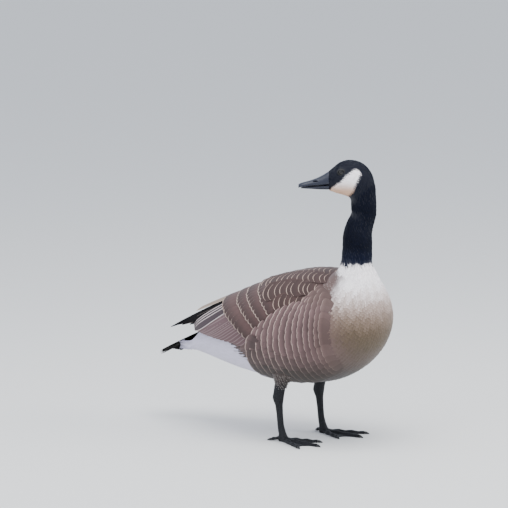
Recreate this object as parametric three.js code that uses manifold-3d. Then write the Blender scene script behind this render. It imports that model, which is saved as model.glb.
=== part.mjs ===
// A life-size Canada goose standing on both feet, its neck raised and its head turned back over its right side.
// Millimetres, +Z up, floor at z = 0. The goose faces -Y, so its left side is towards +X.
// Shapes are drawn in the bird's own terms: forward from the hips, left of the midline, and up.
import * as THREE from "three";
import Module from "manifold-3d";

const wasm = await Module();
wasm.setup();

// Driving dimensions
const GAP = 0.3; // between pieces that touch
const RING_SIDES = 28;
const RINGS_PER_STATION = 2;
const NECK_AXIS_FORWARD = 136; // the neck turns about an upright line here
const HEAD_TURN = 140; // degrees to the bird's right
const EYE = { forward: 166, side: 12.9, up: 504, radius: 7 };
const LID = { across: 5.6, thick: 1.25, out: 17.7, stretch: 1.15 };
const NOSTRIL = { forward: 213, up: 486.4, long: 5, high: 1.5, deep: 3.2 };
const NECK_CUTS = { base: 333, middle: 386, head: 440 }; // heights of the thin cuts
const FEET_APART = 116;
const FOOT_FORWARD = 8;
const HOCK = { forward: -3, up: 80 };
const ANKLE_TOP = 13;
const THIGH_END = 106;

// Places and vectors

// A point in the part's frame from the bird's own terms.
const place = (forward, left, up) => new THREE.Vector3(left, -forward, up);

// A point drawn as if the bird looked straight ahead, swung about the neck's upright axis.
function swung(forward, left, up, degrees) {
  const a = THREE.MathUtils.degToRad(degrees);
  const ahead = forward - NECK_AXIS_FORWARD;
  return place(
    NECK_AXIS_FORWARD + ahead * Math.cos(a) + left * Math.sin(a),
    left * Math.cos(a) - ahead * Math.sin(a),
    up,
  );
}

const mix = THREE.MathUtils.lerp;

// Closed shapes

// Orders the faces outwards and hands the mesh to the solid modeller.
function solid(positions, faces) {
  let volume = 0;
  const corner = (i) => new THREE.Vector3().fromArray(positions, 3 * i);
  for (let i = 0; i < faces.length; i += 3) {
    const [a, b, c] = [corner(faces[i]), corner(faces[i + 1]), corner(faces[i + 2])];
    volume += a.dot(b.cross(c));
  }
  if (volume < 0) {
    for (let i = 0; i < faces.length; i += 3) [faces[i + 1], faces[i + 2]] = [faces[i + 2], faces[i + 1]];
  }
  return new wasm.Manifold(
    new wasm.Mesh({ numProp: 3, vertProperties: new Float32Array(positions), triVerts: new Uint32Array(faces) }),
  );
}

// A skin over rings of equal count, closed at both ends by a fan.
function loft(rings) {
  const sides = rings[0].length;
  const positions = rings.flat().flatMap((p) => p.toArray());
  const faces = [];
  for (let i = 0; i + 1 < rings.length; i++) {
    for (let j = 0; j < sides; j++) {
      const [a, b] = [i * sides + j, i * sides + ((j + 1) % sides)];
      faces.push(a, b, b + sides, a, b + sides, a + sides);
    }
  }
  for (const [ring, turn] of [[0, false], [rings.length - 1, true]]) {
    const middle = positions.length / 3;
    const centre = rings[ring].reduce((sum, p) => sum.add(p), new THREE.Vector3()).divideScalar(sides);
    positions.push(...centre.toArray());
    for (let j = 0; j < sides; j++) {
      const [a, b] = [ring * sides + j, ring * sides + ((j + 1) % sides)];
      faces.push(...(turn ? [a, b, middle] : [b, a, middle]));
    }
  }
  return solid(positions, faces);
}

// A closed slab between two equal grids of points, its faces split alike above and below.
function slab(top, bottom) {
  const [rows, columns] = [top.length, top[0].length];
  const positions = [...top.flat(), ...bottom.flat()].flatMap((p) => p.toArray());
  const under = rows * columns;
  const faces = [];
  const at = (i, j) => i * columns + j;
  for (let i = 0; i + 1 < rows; i++) {
    for (let j = 0; j + 1 < columns; j++) {
      const [a, b, c, d] = [at(i, j), at(i, j + 1), at(i + 1, j + 1), at(i + 1, j)];
      faces.push(a, b, c, a, c, d);
      faces.push(under + a, under + c, under + b, under + a, under + d, under + c);
    }
  }
  const wall = (a, b) => faces.push(a, b, under + b, a, under + b, under + a);
  for (let i = 0; i + 1 < rows; i++) {
    wall(at(i, 0), at(i + 1, 0));
    wall(at(i + 1, columns - 1), at(i, columns - 1));
  }
  for (let j = 0; j + 1 < columns; j++) {
    wall(at(0, j + 1), at(0, j));
    wall(at(rows - 1, j), at(rows - 1, j + 1));
  }
  return solid(positions, faces);
}

// An egg-shaped ring: half sizes above, below and to the side of its centre, with squareness 2 for an ellipse.
function ring(centre, upward, sideways, above, below, half, sides = RING_SIDES, squareness = 2) {
  const points = [];
  const power = 2 / squareness;
  for (let j = 0; j < sides; j++) {
    const angle = (2 * Math.PI * j) / sides;
    const [c, s] = [Math.cos(angle), Math.sin(angle)];
    const rise = Math.sign(c) * Math.abs(c) ** power * (c > 0 ? above : below);
    const reach = Math.sign(s) * Math.abs(s) ** power * half;
    points.push(centre.clone().addScaledVector(upward, rise).addScaledVector(sideways, reach));
  }
  return points;
}

// A ball or egg of a few dozen faces, from a three.js sphere moved by a matrix.
function ball(centre, radii, turn = 0, segments = 14) {
  const rings = [];
  const rows = segments / 2;
  for (let i = 1; i < rows; i++) {
    const angle = (Math.PI * i) / rows;
    const points = [];
    for (let j = 0; j < segments; j++) {
      const around = (2 * Math.PI * j) / segments;
      const p = new THREE.Vector3(Math.cos(around), Math.sin(around), 0).multiplyScalar(Math.sin(angle));
      p.z = Math.cos(angle);
      points.push(p.multiply(radii).applyAxisAngle(new THREE.Vector3(0, 0, 1), turn).add(centre));
    }
    rings.push(points);
  }
  return loft(rings);
}

const joined = (solids) => wasm.Manifold.union(solids);

// Only the largest closed surface is kept, so no loose scrap stays after a cut.
function largest(body) {
  const parts = body.decompose().sort((a, b) => b.volume() - a.volume());
  const sheets = parts[0].volume() > 0 ? parts[0] : body;
  return sheets;
}

// Body, neck and head as one form

// Rings that hang between a point on the bird's upper line and one on its lower line, as [forward, up].
// half is half the width, and turn swings the ring about the neck's axis to the bird's right.
const STATIONS = [
  { upper: [-268, 151], lower: [-262, 141], half: 26, turn: 0 },
  { upper: [-240, 169], lower: [-220, 133], half: 44, turn: 0 },
  { upper: [-185, 220], lower: [-163, 119], half: 67, turn: 0 },
  { upper: [-128, 249], lower: [-98, 108.5], half: 87, turn: 0 },
  { upper: [-70, 276], lower: [-33, 103], half: 102, turn: 0 },
  { upper: [-15, 296], lower: [30, 102], half: 109, turn: 0 },
  { upper: [30, 308], lower: [90, 112], half: 109, turn: 0 },
  { upper: [60, 315], lower: [138, 136], half: 103, turn: 0 },
  { upper: [78, 318], lower: [172, 168], half: 94, turn: 0 },
  { upper: [88, 321], lower: [192, 205], half: 82, turn: 0 },
  { upper: [95, 324], lower: [196, 241], half: 69, turn: 0 },
  { upper: [100, 328], lower: [188, 276], half: 54, turn: 0 },
  { upper: [104, 334], lower: [174, 308], half: 40, turn: 0 },
  { upper: [106, 344], lower: [164, 334], half: 30, turn: 3 },
  { upper: [106.5, 361], lower: [164, 356], half: 27.5, turn: 18 },
  { upper: [106.5, 382], lower: [164, 380], half: 27, turn: 50 },
  { upper: [102.5, 404], lower: [157, 404], half: 25, turn: 88 },
  { upper: [101, 425], lower: [148, 427], half: 22.5, turn: 120 },
  { upper: [101.5, 445], lower: [148.5, 441], half: 22, turn: 137 },
  { upper: [102.5, 464], lower: [149.5, 451], half: 22.5, turn: HEAD_TURN },
  { upper: [104.5, 482], lower: [151.5, 455.5], half: 23, turn: HEAD_TURN },
  { upper: [110, 500], lower: [155, 457.5], half: 23, turn: HEAD_TURN },
  { upper: [121, 514.5], lower: [160, 459.5], half: 22.5, turn: HEAD_TURN },
  { upper: [136, 523], lower: [167, 461.5], half: 22, turn: HEAD_TURN },
  { upper: [153, 525], lower: [174, 463.5], half: 20.8, turn: HEAD_TURN },
  { upper: [168, 520.5], lower: [181, 466], half: 18.3, turn: HEAD_TURN },
  { upper: [180, 511.5], lower: [186.5, 468.5], half: 15.4, turn: HEAD_TURN },
  { upper: [190, 503], lower: [190, 472], half: 12.8, turn: HEAD_TURN },
];

// The whole form, grown outwards by an allowance where it is used to cut a neighbour.
function bodyForm(allowance = 0) {
  const smooth = (pick) => new THREE.CatmullRomCurve3(STATIONS.map(pick), false, "catmullrom", 0.5);
  const upperLine = smooth((s) => new THREE.Vector3(...s.upper, s.turn));
  const lowerLine = smooth((s) => new THREE.Vector3(...s.lower, s.half));
  const count = (STATIONS.length - 1) * RINGS_PER_STATION;
  const rings = [];
  for (let i = 0; i <= count; i++) {
    const [upper, lower] = [upperLine.getPoint(i / count), lowerLine.getPoint(i / count)];
    const turn = upper.z;
    const half = lower.z + allowance;
    const middle = swung((upper.x + lower.x) / 2, 0, (upper.y + lower.y) / 2, turn);
    const top = swung(upper.x, 0, upper.y, turn);
    const upward = top.clone().sub(middle);
    const tall = upward.length() + allowance;
    const sideways = swung(upper.x, 1, upper.y, turn).sub(top);
    rings.push(ring(middle, upward.normalize(), sideways, tall, tall, half));
  }
  return loft(rings);
}

const UP = [0, 0, 1];
const DOWN = [0, 0, -1];
const above = (body, height) => body.trimByPlane(UP, height);
const below = (body, height) => body.trimByPlane(DOWN, -height);

const whole = bodyForm();
const wholeGrown = bodyForm(GAP);
const torso = below(whole, NECK_CUTS.base);
const neckLower = below(above(whole, NECK_CUTS.base + GAP), NECK_CUTS.middle);
const neckUpper = below(above(whole, NECK_CUTS.middle + GAP), NECK_CUTS.head);

// Head, with a socket and lids round each eye

const onHead = (forward, left, up) => swung(forward, left, up, HEAD_TURN);
const HEAD_TURN_ABOUT_UP = -THREE.MathUtils.degToRad(HEAD_TURN);
const SIDES = { left: 1, right: -1 };

function eyeball(side, allowance = 0) {
  const radius = EYE.radius + allowance;
  const centre = onHead(EYE.forward, side * EYE.side, EYE.up);
  return ball(centre, new THREE.Vector3(radius, radius, radius));
}

// The rim of the two lids: a slightly long ring set flat on the side of the head.
function lids(side) {
  const rings = [];
  const steps = 12;
  for (let i = 0; i < steps; i++) {
    const angle = (2 * Math.PI * i) / steps;
    const [c, s] = [Math.cos(angle), Math.sin(angle)];
    const section = [];
    for (let j = 0; j < 5; j++) {
      const round = (2 * Math.PI * j) / 5;
      const reach = LID.across + LID.thick * Math.cos(round);
      const out = LID.out + LID.thick * Math.sin(round);
      section.push(onHead(EYE.forward + reach * c * LID.stretch, side * out, EYE.up + reach * s));
    }
    rings.push(section);
  }
  const positions = rings.flat().flatMap((p) => p.toArray());
  const faces = [];
  for (let i = 0; i < steps; i++) {
    for (let j = 0; j < 5; j++) {
      const next = (i + 1) % steps;
      const [a, b] = [i * 5 + j, i * 5 + ((j + 1) % 5)];
      const [c, d] = [next * 5 + ((j + 1) % 5), next * 5 + j];
      faces.push(a, b, c, a, c, d);
    }
  }
  return solid(positions, faces);
}

let head = above(whole, NECK_CUTS.head + GAP);
for (const side of Object.values(SIDES)) head = head.add(lids(side));
for (const side of Object.values(SIDES)) head = head.subtract(eyeball(side, GAP));

// Bill: two mandibles that meet at the line of the mouth

// Each row is [forward, top, bottom, half width].
const UPPER_BILL = [
  [190.3, 502.5, 479.4, 12.4],
  [198, 497.6, 479, 12.1],
  [208, 492.4, 478.4, 11.2],
  [218, 488.4, 477.7, 10.3],
  [228, 485.4, 476.8, 9.6],
  [236, 483.3, 475.8, 9],
  [240.5, 481.7, 474.6, 7.4],
  [243.4, 479.4, 473.6, 4.6],
];
const LOWER_BILL = [
  [190.3, 478.9, 470.4, 10.6],
  [204, 478, 470.6, 9.6],
  [220, 476.9, 471.6, 8.3],
  [233, 475.4, 472.2, 7],
  [238.6, 474.3, 472.6, 4.4],
];
const BILL_SIDES = 16;

// The share of a mandible's height that lies above its widest line
function mandible(rows, shareAbove) {
  const smooth = (pick) => new THREE.CatmullRomCurve3(rows.map(pick), false, "catmullrom", 0.5);
  const profile = smooth((r) => new THREE.Vector3(r[0], r[1], r[2]));
  const widths = smooth((r) => new THREE.Vector3(r[0], r[3], 0));
  const count = rows.length - 1;
  const rings = [];
  for (let i = 0; i <= count; i++) {
    const { x: forward, y: top, z: bottom } = profile.getPoint(i / count);
    const half = widths.getPoint(i / count).y;
    const tall = top - bottom;
    const centre = onHead(forward, 0, bottom + tall * (1 - shareAbove));
    const sideways = onHead(forward, 1, 0).sub(onHead(forward, 0, 0));
    const upward = new THREE.Vector3(0, 0, 1);
    rings.push(ring(centre, upward, sideways, tall * shareAbove, tall * (1 - shareAbove), half, BILL_SIDES, 2.3));
  }
  return loft(rings);
}

function nostril(side) {
  const centre = onHead(NOSTRIL.forward, side * 9.2, NOSTRIL.up);
  return ball(centre, new THREE.Vector3(NOSTRIL.deep, NOSTRIL.long, NOSTRIL.high), HEAD_TURN_ABOUT_UP, 10);
}

const billUpper = mandible(UPPER_BILL, 0.8).subtract(nostril(1)).subtract(nostril(-1));
const billLower = mandible(LOWER_BILL, 0.2);

// Folded wings

// The outline of the bird with its wings shut, every 60 mm from in front of the shoulder to past the tail:
// height of the upper line, height of the widest line, and half the width there.
const CLOAK_START = 120;
const CLOAK_STEP = 60;
const CLOAK = [
  [314, 232, 84],
  [318, 218, 104],
  [308, 208, 113],
  [292, 203, 111],
  [271, 197, 99],
  [247, 190, 76],
  [221, 180, 46],
  [192, 168, 26],
  [164, 150, 12],
];
const cloakLine = new THREE.CatmullRomCurve3(CLOAK.map((c) => new THREE.Vector3(...c)), false, "catmullrom", 0.5);

// A point lifted off the cloak; angle is 0 on the back's midline and 90 on the side.
function onCloak(forward, angle, lift, side) {
  const along = (CLOAK_START - forward) / (CLOAK_STEP * (CLOAK.length - 1));
  const { x: top, y: middle, z: half } = cloakLine.getPoint(THREE.MathUtils.clamp(along, 0, 1));
  const a = THREE.MathUtils.degToRad(angle);
  return place(forward, side * (half + lift) * Math.sin(a), middle + (top - middle + lift) * Math.cos(a));
}

// One flat, tapered vane along a line of points with outward normals. lean lifts one edge over the next vane.
function vane(points, normals, widths, thick, lean, columns = 2) {
  const [top, bottom] = [[], []];
  points.forEach((p, i) => {
    const ahead = points[Math.min(i + 1, points.length - 1)].clone().sub(points[Math.max(i - 1, 0)]).normalize();
    const across = ahead.clone().cross(normals[i]).normalize().applyAxisAngle(ahead, lean);
    const out = across.clone().cross(ahead).normalize();
    const rows = [[], []];
    for (let j = 0; j < columns; j++) {
      const reach = (j / (columns - 1) - 0.5) * widths[i];
      const crest = columns > 2 && j % 2 === 1 ? thick * 0.8 : 0;
      for (const [k, sign] of [[0, 1], [1, -1]]) {
        const offset = (sign * thick) / 2 + crest;
        rows[k].push(p.clone().addScaledVector(across, reach).addScaledVector(out, offset));
      }
    }
    top.push(rows[0]);
    bottom.push(rows[1]);
  });
  return slab(top, bottom);
}

// Width along a vane as a share of its full width, from the root to the rounded tip
const ROUND_TIP = [0.6, 0.92, 1, 0.86, 0.4];
const SHORT_ROUND_TIP = [0.7, 1, 0.92, 0.44];
const NARROW_TIP = [0.75, 1, 0.94, 0.7, 0.22];

// Tiers of the folded wing from the innermost vane at the back to the outermost low on the side.
// root and tip are lines of [forward, angle] that run across the tier; lift is the height over the cloak.
const TIERS = [
  { count: 4, root: [[-70, 24], [-60, 44]], tip: [[-300, 62], [-212, 83]], width: [20, 22], lift: -8, shape: NARROW_TIP },
  { count: 7, root: [[-77, 30], [-45, 60], [-12, 84]], tip: [[-207, 85], [-160, 98], [-66, 107]], width: [26, 24], lift: -6, shape: ROUND_TIP },
  { count: 3, root: [[-16, 8], [-16, 28]], tip: [[-226, 10], [-232, 46]], width: [26, 24], lift: -4.5, shape: ROUND_TIP },
  { count: 6, root: [[10, 24], [20, 76]], tip: [[-132, 34], [-92, 70], [-48, 94]], width: [32, 30], lift: -3, shape: SHORT_ROUND_TIP },
  { count: 5, root: [[34, 22], [52, 70]], tip: [[-92, 30], [-27, 80]], width: [34, 32], lift: -0.5, shape: SHORT_ROUND_TIP },
  { count: 4, root: [[62, 14], [70, 50]], tip: [[-58, 12], [12, 60]], width: [34, 34], lift: 2, shape: SHORT_ROUND_TIP },
];
const VANE_THICK = 0.9;
const VANE_LEAN = 0.07; // radians
const ROOT_SINK = 5;

function wingVane(tier, t, side) {
  const rows = tier.shape.length;
  const [root, tip] = [tier.root, tier.tip].map((line) => new THREE.SplineCurve(line.map((p) => new THREE.Vector2(...p))).getPoint(t));
  const [points, normals] = [[], []];
  for (let i = 0; i < rows; i++) {
    const s = i / (rows - 1);
    const forward = mix(root.x, tip.x, s);
    const angle = mix(root.y, tip.y, s);
    const lift = tier.lift - ROOT_SINK * Math.max(0, 1 - 3 * s);
    points.push(onCloak(forward, angle, lift, side));
    normals.push(onCloak(forward, angle, lift + 1, side).sub(points[i]).normalize());
  }
  const width = mix(tier.width[0], tier.width[1], t);
  const widths = tier.shape.map((share) => share * width);
  return vane(points, normals, widths, VANE_THICK, side * VANE_LEAN);
}

// The folded arm and hand: a leaf-shaped slab under the coverts, from the shoulder to past the wrist.
const ARM = { front: 84, back: -190, outer: -8, thick: 10, rows: 8, columns: 4 };

function wingArm(side) {
  const [top, bottom] = [[], []];
  for (let i = 0; i < ARM.rows; i++) {
    const s = i / (ARM.rows - 1);
    const forward = mix(ARM.front, ARM.back, s);
    const upperEdge = mix(34, 3, Math.min(1, s * 2.2));
    const lowerEdge = 52 + 46 * Math.sin(Math.PI * Math.min(1, s * 1.15)) ** 0.7;
    const [outer, inner] = [[], []];
    for (let j = 0; j < ARM.columns; j++) {
      const angle = mix(upperEdge, lowerEdge, j / (ARM.columns - 1));
      const edge = j === 0 || j === ARM.columns - 1 ? 1.5 : 0;
      outer.push(onCloak(forward, angle, ARM.outer - edge, side));
      inner.push(onCloak(forward, angle, ARM.outer - ARM.thick + edge, side));
    }
    top.push(outer);
    bottom.push(inner);
  }
  return slab(top, bottom);
}

function wing(side) {
  const pieces = [wingArm(side)];
  for (const tier of TIERS) {
    for (let i = 0; i < tier.count; i++) pieces.push(wingVane(tier, i / (tier.count - 1), side));
  }
  return joined(pieces);
}

// Tail

const TAIL = { count: 8, root: [-222, 178], tip: [-334, 126], spread: 8, width: 17, thick: 0.9, droop: 2 };

function tailVane(index) {
  const t = (2 * index) / (TAIL.count - 1) - 1;
  const angle = THREE.MathUtils.degToRad(t * TAIL.spread);
  const length = (TAIL.root[0] - TAIL.tip[0]) * (1 - 0.13 * t * t);
  const [points, normals] = [[], []];
  for (let i = 0; i < ROUND_TIP.length; i++) {
    const s = i / (ROUND_TIP.length - 1);
    const forward = TAIL.root[0] - length * s * Math.cos(angle);
    const left = 12 * t + length * s * Math.sin(angle);
    const stack = 1.5 * (1 - Math.abs(t)) * 2;
    const up = mix(TAIL.root[1], TAIL.tip[1], s) - TAIL.droop * t * t + stack;
    points.push(place(forward, left, up));
    normals.push(new THREE.Vector3(Math.sin(0.3 * t), 0.32, 1).normalize());
  }
  const widths = ROUND_TIP.map((share) => share * TAIL.width);
  return vane(points, normals, widths, TAIL.thick, Math.sign(t) * -0.12);
}

function tailBase() {
  const rings = [-232, -258, -270, -284].map((forward, i) => {
    const middle = place(forward, 0, mix(TAIL.root[1], TAIL.tip[1], (TAIL.root[0] - forward) / (TAIL.root[0] - TAIL.tip[0])) - 1);
    const high = [8, 6.5, 4.5, 1.6][i];
    return ring(middle, new THREE.Vector3(0, 0.32, 0.95), new THREE.Vector3(1, 0, 0), high, high, [20, 24, 24, 18][i], 16);
  });
  return loft(rings);
}

// Legs

// A tapered limb through rows of [forward, left, up, half length, half width] on level rings
function limb(rows, sides = 14) {
  const rings = rows.map(([forward, left, up, long, wide]) => {
    const centre = place(forward, left, up);
    return ring(centre, new THREE.Vector3(0, -1, 0), new THREE.Vector3(1, 0, 0), long, long, wide, sides);
  });
  return loft(rings);
}

function thigh(side) {
  const x = (side * FEET_APART) / 2;
  return limb([
    [30, x * 0.95, 165, 44, 30],
    [22, x * 0.96, 146, 38, 28],
    [9, x * 0.98, 128, 20, 18],
    [4, x, 115, 13.5, 12.5],
    [2, x, THIGH_END, 11.8, 11],
  ], 20);
}

function shank(side) {
  const x = (side * FEET_APART) / 2;
  return limb([
    [2, x, THIGH_END - GAP, 11.2, 10.4],
    [0, x, 94, 11, 10],
    [-2, x, 86, 11, 10],
    [HOCK.forward, x, HOCK.up, 11.2, 10.2],
    [HOCK.forward + 0.5, x, 74, 10, 8.6],
    [-1, x, 66, 7.8, 6.4],
    [1, x, 48, 6.8, 5.4],
    [3, x, 30, 6.8, 5.4],
    [6, x, 18, 7.6, 6.2],
    [FOOT_FORWARD, x, ANKLE_TOP, 8, 7],
  ]);
}

// Toes as [degrees outwards from straight ahead, length, radius at the root]
const TOES = {
  inner: { out: -27, long: 66, thick: 5 },
  middle: { out: 2, long: 84, thick: 5.2 },
  outer: { out: 29, long: 78, thick: 5 },
  hind: { out: 158, long: 21, thick: 3.6 },
};
const CLAW = { long: 9, thick: 2.9 };
const TOE_START = 5;

// A point along a toe: distance from the ankle's middle, and height
function onToe(side, toe, distance, up) {
  const a = THREE.MathUtils.degToRad(toe.out);
  const left = (side * FEET_APART) / 2 + side * distance * Math.sin(a);
  return place(FOOT_FORWARD + distance * Math.cos(a), left, up);
}

function toeTube(side, toe, stops) {
  const a = THREE.MathUtils.degToRad(toe.out);
  const sideways = new THREE.Vector3(side * Math.cos(a), Math.sin(a), 0);
  const rings = stops.map(([distance, up, radius]) =>
    ring(onToe(side, toe, distance, up), new THREE.Vector3(0, 0, 1), sideways, radius, radius, radius, 8),
  );
  return loft(rings);
}

// A toe with a swelling at each joint, flat beneath
function toe(side, t) {
  const stops = [];
  const joints = t.long > 40 ? 3 : 1;
  const steps = joints * 2;
  for (let i = 0; i <= steps; i++) {
    const s = i / steps;
    const swelling = 1 + 0.13 * Math.cos(2 * Math.PI * joints * s);
    const radius = mix(t.thick, 3.3, s) * swelling;
    stops.push([mix(TOE_START, t.long, s), radius * 0.72 + (joints === 1 ? mix(4, 1, s) : 0), radius]);
  }
  return toeTube(side, t, stops);
}

function claw(side, t) {
  const start = t.long + GAP;
  const [r, l] = [CLAW.thick, CLAW.long];
  return toeTube(side, t, [
    [start, r * 0.95, r],
    [start + l * 0.35, r * 0.9, r * 0.88],
    [start + l * 0.7, r * 0.62, r * 0.6],
    [start + l, r * 0.26, r * 0.24],
  ]);
}

// The web between two toes: a thin sheet with its front edge drawn in
function web(side, first, second) {
  const [top, bottom] = [[], []];
  const rows = 5;
  for (let i = 0; i < rows; i++) {
    const s = i / (rows - 1);
    const drawnIn = 1 - 0.16 * Math.sin(Math.PI * s);
    const [upper, lower] = [[], []];
    for (const share of [0.06, 0.5, 0.93]) {
      const a = onToe(side, first, first.long * share * drawnIn, 0);
      const b = onToe(side, second, second.long * share * drawnIn, 0);
      const p = a.lerp(b, s);
      const high = 1.7 + 1.6 * (1 - share);
      upper.push(p.clone().setZ(high));
      lower.push(p.clone().setZ(-1));
    }
    top.push(upper);
    bottom.push(lower);
  }
  return slab(top, bottom);
}

function foot(side) {
  const x = (side * FEET_APART) / 2;
  const ankle = limb([
    [FOOT_FORWARD, x, ANKLE_TOP - GAP, 8, 7],
    [FOOT_FORWARD + 1, x, 8, 9.4, 8.2],
    [FOOT_FORWARD + 2, x, 3, 10, 8.8],
    [FOOT_FORWARD + 2, x, -1, 9, 8],
  ]);
  const toes = Object.values(TOES).map((t) => toe(side, t));
  const webs = [web(side, TOES.inner, TOES.middle), web(side, TOES.middle, TOES.outer)];
  return above(joined([ankle, ...toes, ...webs]), 0);
}

// Assembly

const COLOURS = {
  black: { color: 0x14151a, roughness: 0.75, metalness: 0 },
  bill: { color: 0x1d2028, roughness: 0.45, metalness: 0 },
  eye: { color: 0x1a0f0a, roughness: 0.08, metalness: 0 },
  brown: { color: 0x7d6a60, roughness: 0.85, metalness: 0 },
  darkBrown: { color: 0x3a302d, roughness: 0.8, metalness: 0 },
  pale: { color: 0xc9bdae, roughness: 0.9, metalness: 0 },
  skin: { color: 0x22232a, roughness: 0.6, metalness: 0 },
};
const MATERIALS = Object.fromEntries(
  Object.entries(COLOURS).map(([name, look]) => [name, new THREE.MeshStandardMaterial({ name, ...look })]),
);

const goose = new THREE.Group();
goose.name = "canada_goose";

function addPiece(name, body, material) {
  const mesh = largest(body).getMesh();
  const geometry = new THREE.BufferGeometry();
  geometry.setAttribute("position", new THREE.BufferAttribute(new Float32Array(mesh.vertProperties), 3));
  geometry.setIndex(new THREE.BufferAttribute(new Uint32Array(mesh.triVerts), 1));
  geometry.computeVertexNormals();
  const piece = new THREE.Mesh(geometry, MATERIALS[material]);
  piece.name = name;
  goose.add(piece);
}

addPiece("torso", torso, "pale");
addPiece("neck_lower", neckLower, "black");
addPiece("neck_upper", neckUpper, "black");
addPiece("head", head, "black");
addPiece("bill_upper", billUpper, "bill");
addPiece("bill_lower", billLower, "bill");
addPiece("tail", joined([tailBase(), ...Array.from({ length: TAIL.count }, (_, i) => tailVane(i))]).subtract(wholeGrown), "darkBrown");

for (const [name, side] of Object.entries(SIDES)) {
  addPiece(`eye_${name}`, eyeball(side), "eye");
  addPiece(`wing_${name}`, wing(side).subtract(wholeGrown), "brown");
  addPiece(`thigh_${name}`, thigh(side).subtract(wholeGrown), "brown");
  addPiece(`leg_${name}`, shank(side), "skin");
  addPiece(`foot_${name}`, foot(side), "skin");
  for (const [digit, t] of Object.entries(TOES)) addPiece(`claw_${name}_${digit}`, above(claw(side, t), 0), "bill");
}

// The origin is on the floor under the middle of the bird's outline.
const box = new THREE.Box3().setFromObject(goose);
const middle = box.getCenter(new THREE.Vector3());
goose.position.set(-middle.x, -middle.y, -box.min.z);

export default goose;
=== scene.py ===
import math

import bmesh
import bpy
import numpy as np
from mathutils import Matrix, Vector
from mathutils.kdtree import KDTree


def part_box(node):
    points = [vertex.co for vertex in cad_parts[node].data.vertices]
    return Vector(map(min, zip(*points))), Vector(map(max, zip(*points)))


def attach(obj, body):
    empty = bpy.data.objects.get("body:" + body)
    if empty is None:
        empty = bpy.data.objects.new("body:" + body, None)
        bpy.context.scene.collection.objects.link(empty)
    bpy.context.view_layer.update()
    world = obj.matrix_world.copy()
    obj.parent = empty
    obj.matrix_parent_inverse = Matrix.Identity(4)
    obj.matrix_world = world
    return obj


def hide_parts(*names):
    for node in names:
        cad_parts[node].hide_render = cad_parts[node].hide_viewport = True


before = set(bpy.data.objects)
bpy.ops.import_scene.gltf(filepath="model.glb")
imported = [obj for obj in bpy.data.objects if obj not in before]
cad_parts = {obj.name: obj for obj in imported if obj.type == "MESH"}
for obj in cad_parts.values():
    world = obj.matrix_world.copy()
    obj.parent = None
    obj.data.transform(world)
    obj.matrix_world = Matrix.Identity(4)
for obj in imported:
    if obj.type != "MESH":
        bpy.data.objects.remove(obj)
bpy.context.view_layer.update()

# The bird's flesh and skin from tail to bill, thighs included: soft, warm and feathered all over.
# One closed skin is lofted over rows down the body and joined to the thighs by a remesh. It lies
# under the plumage by the depth of the feathers, which is least on the face.
SHANK_FRONT = 0.016  # the lower leg's foremost point is this far ahead of the hips
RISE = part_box("leg_left")[0].y + SHANK_FRONT


def at(forward, left, up):
    """A place in metres, from millimetres ahead of the hips, left of the midline and up."""
    forward, left, up = np.broadcast_arrays(forward, left, up)
    return np.stack([left, -forward, up], -1) / 1000 + np.array([0, RISE, 0])


def forward_of(p):
    """How many millimetres a place in metres is ahead of the hips."""
    return (RISE - p[..., 1]) * 1000


NECK_AXIS = 136  # the neck turns about an upright line this far ahead of the hips
HEAD_TURN = 140  # degrees to the bird's right


def swung(forward, left, up, turn):
    """The same for a bird that looks ahead and then turns its neck turn degrees to the right."""
    turn = np.radians(turn)
    ahead = forward - NECK_AXIS
    return at(
        NECK_AXIS + ahead * np.cos(turn) + left * np.sin(turn),
        left * np.cos(turn) - ahead * np.sin(turn),
        up,
    )


def on_head(forward, left, up):
    """A place on the turned head, drawn as if the bird looked ahead."""
    forward, left, up = (np.asarray(values, float) for values in (forward, left, up))
    return swung(forward, left, up, HEAD_TURN)


# Rows from tail to bill: forward and height of the upper line, then of the lower line, half the
# width, and the turn of the neck
BODY = np.array([
    (-268, 151, -262, 141, 26, 0), (-240, 169, -220, 133, 44, 0), (-185, 220, -163, 119, 67, 0),
    (-128, 249, -98, 108.5, 87, 0), (-70, 276, -33, 103, 102, 0), (-15, 296, 30, 102, 109, 0),
    (30, 308, 90, 112, 109, 0), (60, 315, 138, 136, 103, 0), (78, 318, 172, 168, 94, 0),
    (88, 321, 192, 205, 82, 0), (95, 324, 196, 241, 69, 0), (100, 328, 188, 276, 54, 0),
    (104, 334, 174, 308, 40, 0), (106, 344, 164, 334, 30, 3), (106.5, 361, 164, 356, 27.5, 18),
    (106.5, 382, 164, 380, 27, 50), (102.5, 404, 157, 404, 25, 88), (101, 425, 148, 427, 22.5, 120),
    (101.5, 445, 148.5, 441, 22, 137), (102.5, 464, 149.5, 451, 22.5, 140),
    (104.5, 482, 151.5, 455.5, 23, 140), (110, 500, 155, 457.5, 23, 140),
    (121, 514.5, 160, 459.5, 22.5, 140), (136, 523, 167, 461.5, 22, 140),
    (153, 525, 174, 463.5, 20.8, 140), (168, 520.5, 181, 466, 18.3, 140),
    (180, 511.5, 186.5, 468.5, 15.4, 140), (190, 503, 190, 472, 12.8, 140),
])
NECK_BASE, HEAD_START, BILL_BASE = 12.3, 19.0, len(BODY) - 1.0


def along_rows(rows, t):
    """Values at row number t on a smooth line through the rows."""
    padded = np.vstack([2 * rows[0] - rows[1], rows, 2 * rows[-1] - rows[-2]])
    i = np.clip(np.floor(t).astype(int), 0, len(rows) - 2)
    s = (np.asarray(t) - i)[..., None]
    a, b, c, d = (padded[i + k] for k in range(4))
    bend, twist = 2 * a - 5 * b + 4 * c - d, 3 * b - a - 3 * c + d
    return 0.5 * (2 * b + (c - a) * s + bend * s**2 + twist * s**3)


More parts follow.
